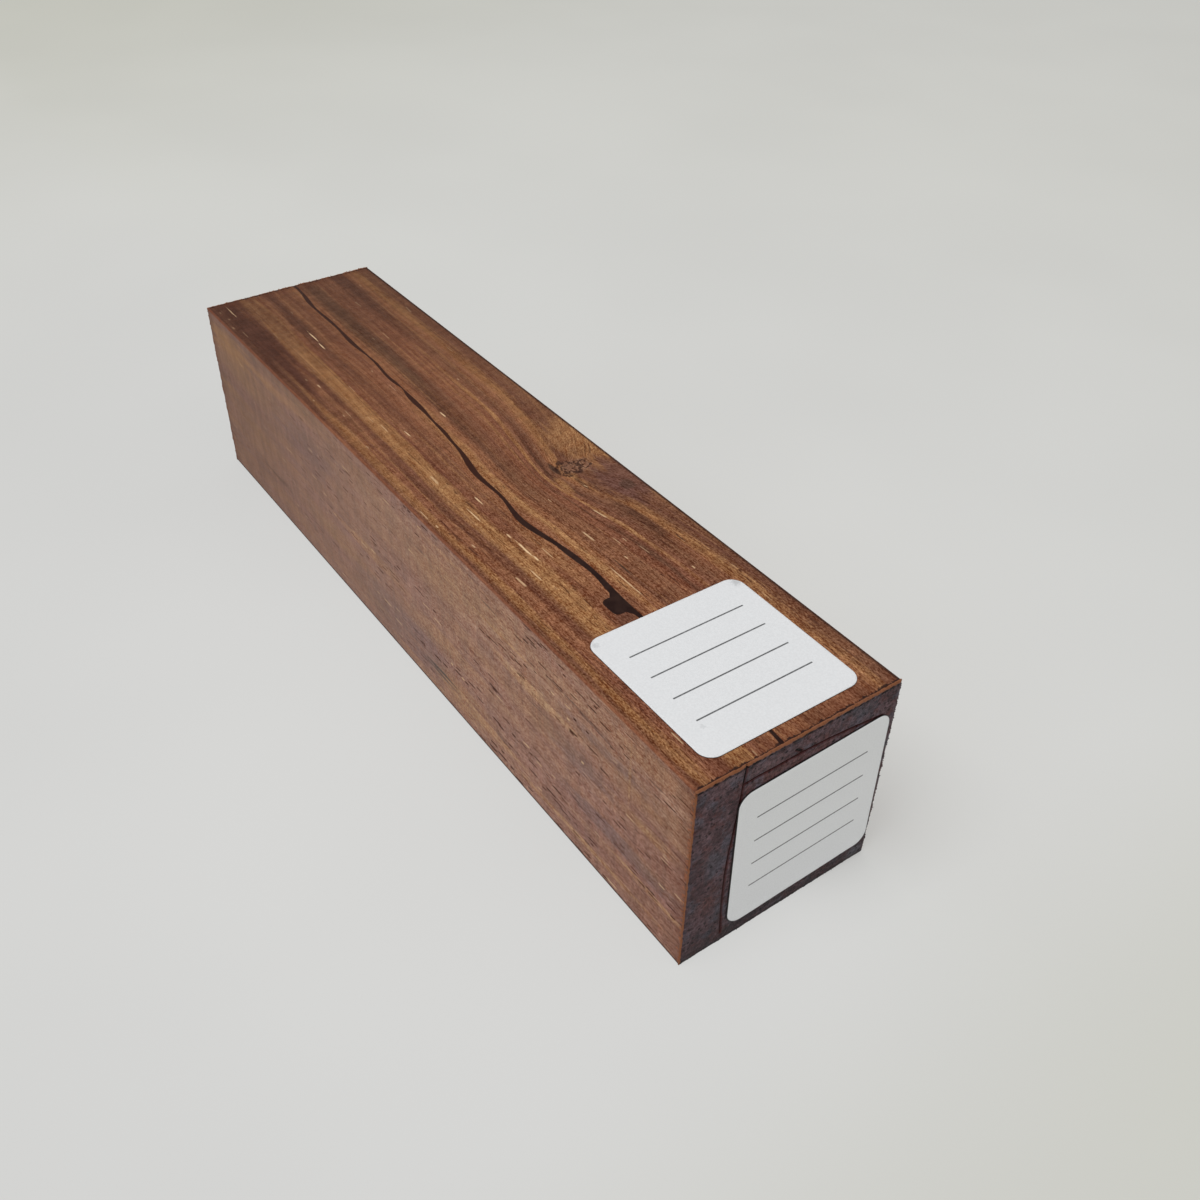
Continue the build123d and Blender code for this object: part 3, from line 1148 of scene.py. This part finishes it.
def make_crumb_tree():
    """Scatters irregular crumbs over the points of a mesh."""
    tree = bpy.data.node_groups.new("rim_crumbs", "GeometryNodeTree")
    kinds = {"Geometry": "Geometry", "Size": "Float", "Seed": "Int", "Material": "Material"}
    sockets = {
        name: tree.interface.new_socket(
            name, in_out="INPUT", socket_type=f"NodeSocket{kind}").identifier
        for name, kind in kinds.items()
    }
    tree.interface.new_socket("Geometry", in_out="OUTPUT", socket_type="NodeSocketGeometry")
    do = Recipe(tree)
    given = do.node("NodeGroupInput").outputs

    def random_vector(low, high, seed):
        inputs = {"Min": low, "Max": high, "Seed": seed}
        return do.node("FunctionNodeRandomValue", inputs, data_type="FLOAT_VECTOR").outputs["Value"]

    share = do.node("GeometryNodeInputNamedAttribute", {"Name": "share"}, data_type="FLOAT")
    chance = do.split(random_vector((0.0,) * 3, (1.0,) * 3, given["Seed"]))[0]
    chosen = do.node(
        "FunctionNodeCompare", {0: chance, 1: share.outputs["Attribute"]},
        operation="LESS_THAN").outputs[0]
    turn = random_vector((0.0,) * 3, (math.tau,) * 3, 7)
    stretch = random_vector((0.5, 0.4, 0.4), (2.0, 1.2, 1.0), 11)
    scale = do.vector("MULTIPLY", stretch, do.join(given["Size"], given["Size"], given["Size"]))
    crumb = do.node("GeometryNodeMeshIcoSphere", {"Radius": 1.0, "Subdivisions": 1}).outputs["Mesh"]
    laid = do.node("GeometryNodeInstanceOnPoints", {
        "Points": given["Geometry"], "Selection": chosen, "Instance": crumb,
        "Rotation": turn, "Scale": scale,
    }).outputs["Instances"]
    real = do.node("GeometryNodeRealizeInstances", {"Geometry": laid}).outputs["Geometry"]
    coloured = do.node(
        "GeometryNodeSetMaterial", {"Geometry": real, "Material": given["Material"]})
    do.feed(do.node("NodeGroupOutput").inputs["Geometry"], coloured.outputs["Geometry"])
    return tree, sockets


def make_crumbs(name, outward, seed, tree, sockets):
    """Crumbs along the rim of one end, scattered once and kept as a mesh."""
    points, shares = [], []
    face_x = outward * (blank_high.x + seal_thickness * crumb_level)
    for side, (length, _, _, share) in rim_sides.items():
        for step in range(1, int(length / crumb_spacing)):
            place = step * crumb_spacing
            out = rim_offset(place, side, seed) - crumb_sink
            y, z = {
                "minus_y": (-blank_width / 2 - out, blank_height - place),
                "plus_y": (blank_width / 2 + out, blank_height - place),
                "top": (place - blank_width / 2, blank_height + out),
                "bottom": (place - blank_width / 2, -out),
            }[side]
            points.append((face_x, y, max(z, 2 * crumb_size)))
            shares.append(share)
    piece = make_piece(name, points, [])
    mark(piece, "share", shares)
    scatter = piece.modifiers.new("crumbs", "NODES")
    scatter.node_group = tree
    scatter[sockets["Size"]] = crumb_size * MM
    scatter[sockets["Seed"]] = int(seed)
    scatter[sockets["Material"]] = wax
    evaluated = piece.evaluated_get(bpy.context.evaluated_depsgraph_get())
    mesh = bpy.data.meshes.new_from_object(evaluated)
    piece.modifiers.remove(scatter)
    piece.data = mesh
    dress(piece, wax, smooth=False)


near_seed = 3.1
far_seed = 9.4
make_seal("near_end_wax", 1, near_cracks, near_seed, "end_seal_near")
make_seal("far_end_wax", -1, [], far_seed, "end_seal_far")
crumb_tree, crumb_sockets = make_crumb_tree()
make_crumbs("near_rim_crumbs", 1, near_seed, crumb_tree, crumb_sockets)
make_crumbs("far_rim_crumbs", -1, far_seed, crumb_tree, crumb_sockets)


# Paper labels, with rounded edges. Each one lies on its face, turned a little.
top_label_turn = math.radians(-0.4)
end_label_turn = math.radians(1.3)
paper_edge_radius = 0.05
least_corner = 0.6
corner_steps = 7
side_steps = 14
insets = (0.35, 0.9, 1.6, 2.6, 4.2, 6.5, 9.0, 12.0)

# Where the end label has come off: how far below its middle the curl starts,
# how long it is and how far it stands out at the edge
curl_start = 11.5
curl_reach = 3.5
curl_height = 0.28


def label_outline(inset):
    """Points once round a label's outline, inset by a distance."""
    half = label_side / 2 - inset
    radius = min(half, max(label_corner - inset, least_corner))
    outline = []
    for quarter in range(4):
        start = quarter * math.pi / 2
        along = Vector((-math.sin(start), math.cos(start)))
        across = Vector((math.cos(start), math.sin(start)))
        for step in range(side_steps):
            outline.append(across * half + along * (half - radius) * (2 * step / side_steps - 1))
        pivot = (across + along) * (half - radius)
        for step in range(corner_steps):
            angle = start + step / corner_steps * math.pi / 2
            outline.append(pivot + Vector((math.cos(angle), math.sin(angle))) * radius)
    return outline


def make_label(name, node, right, up, turn, lift_of, shadow_skirt, shadow_skirt_shift):
    """A label on the face that a node's box gives. Right and up are the ways of its print, and lift_of
    gives its height above its seat at a place. A dark skirt stands out round its foot, shifted a little:
    a painted shadow under the paper's edge."""
    low, high = (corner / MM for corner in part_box(node))
    out = right.cross(up)
    centre = (low + high) / 2
    thickness = abs((high - low).dot(out))
    seat = centre - out * thickness / 2
    turned_right = right * math.cos(turn) + up * math.sin(turn)
    turned_up = up * math.cos(turn) - right * math.sin(turn)
    points, sheet, edge_shadow, faces = [], [], [], []

    def add_point(spot, height, edge_shadow_share):
        height += lift_of(spot)
        points.append(seat + turned_right * spot.x + turned_up * spot.y + out * height)
        sheet.append((spot.x / label_side + 0.5, spot.y / label_side + 0.5))
        edge_shadow.append(edge_shadow_share)
        return len(points) - 1

    def add_loop(inset, height, edge_shadow_share, shift=Vector((0.0, 0.0))):
        return [add_point(spot + shift, height, edge_shadow_share) for spot in label_outline(inset)]

    def add_sheet(loop, height, flip):
        """Rings from a loop to the middle, on one side of the paper."""
        nonlocal faces
        for inset in insets:
            ring = add_loop(inset, height, 0.0)
            faces += wall_faces(loop, ring, not flip)
            loop = ring
        faces += fan_faces(loop, add_point(Vector((0.0, 0.0)), height, 0.0), flip)

    # The foot and the ankle carry the painted shadow, and the paper's edge some of it
    foot = add_loop(-shadow_skirt, 0.0, 1.0, shadow_skirt_shift)
    ankle = add_loop(-0.02, 0.03, 1.0)
    shoulder = add_loop(0.0, thickness - paper_edge_radius, 0.3)
    crown = add_loop(paper_edge_radius, thickness, 0.1)
    for upper, lower in ((ankle, foot), (shoulder, ankle), (crown, shoulder)):
        faces += wall_faces(upper, lower, False)
    add_sheet(crown, thickness, False)
    add_sheet(foot, 0.0, True)

    piece = make_piece(name, points, faces)
    map_layer = piece.data.uv_layers.new(name="sheet")
    for loop in piece.data.loops:
        map_layer.data[loop.index].uv = sheet[loop.vertex_index]
    mark(piece, "edge_shadow", edge_shadow)
    dress(piece, paper, node)


def lie_flat(spot):
    """Paper that lies on its face."""
    return 0.0


def curl_below(spot):
    """Paper that has come off along its lower edge and curls out a little."""
    share = max(0.0, (-spot.y - curl_start) / curl_reach)
    wave = 0.8 + 0.2 * noise.noise(Vector((spot.x * 0.15, 3.0, 0.0)))
    return curl_height * share ** 2 * wave


along_x, along_y, along_z = Vector((1, 0, 0)), Vector((0, 1, 0)), Vector((0, 0, 1))
make_label(
    "top_paper", "top_label", along_y, -along_x, top_label_turn, lie_flat,
    shadow_skirt=0.05, shadow_skirt_shift=Vector((-0.02, -0.02)))
make_label(
    "end_paper", "end_label", along_y, along_z, end_label_turn, curl_below,
    shadow_skirt=0.16, shadow_skirt_shift=Vector((-0.12, 0.1)))

# The wood and its filler keep their CAD meshes
for node_name, material in (("blank", hardwood), ("crack_fill", resin)):
    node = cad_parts[node_name]
    node.data.materials.clear()
    node.data.materials.append(material)
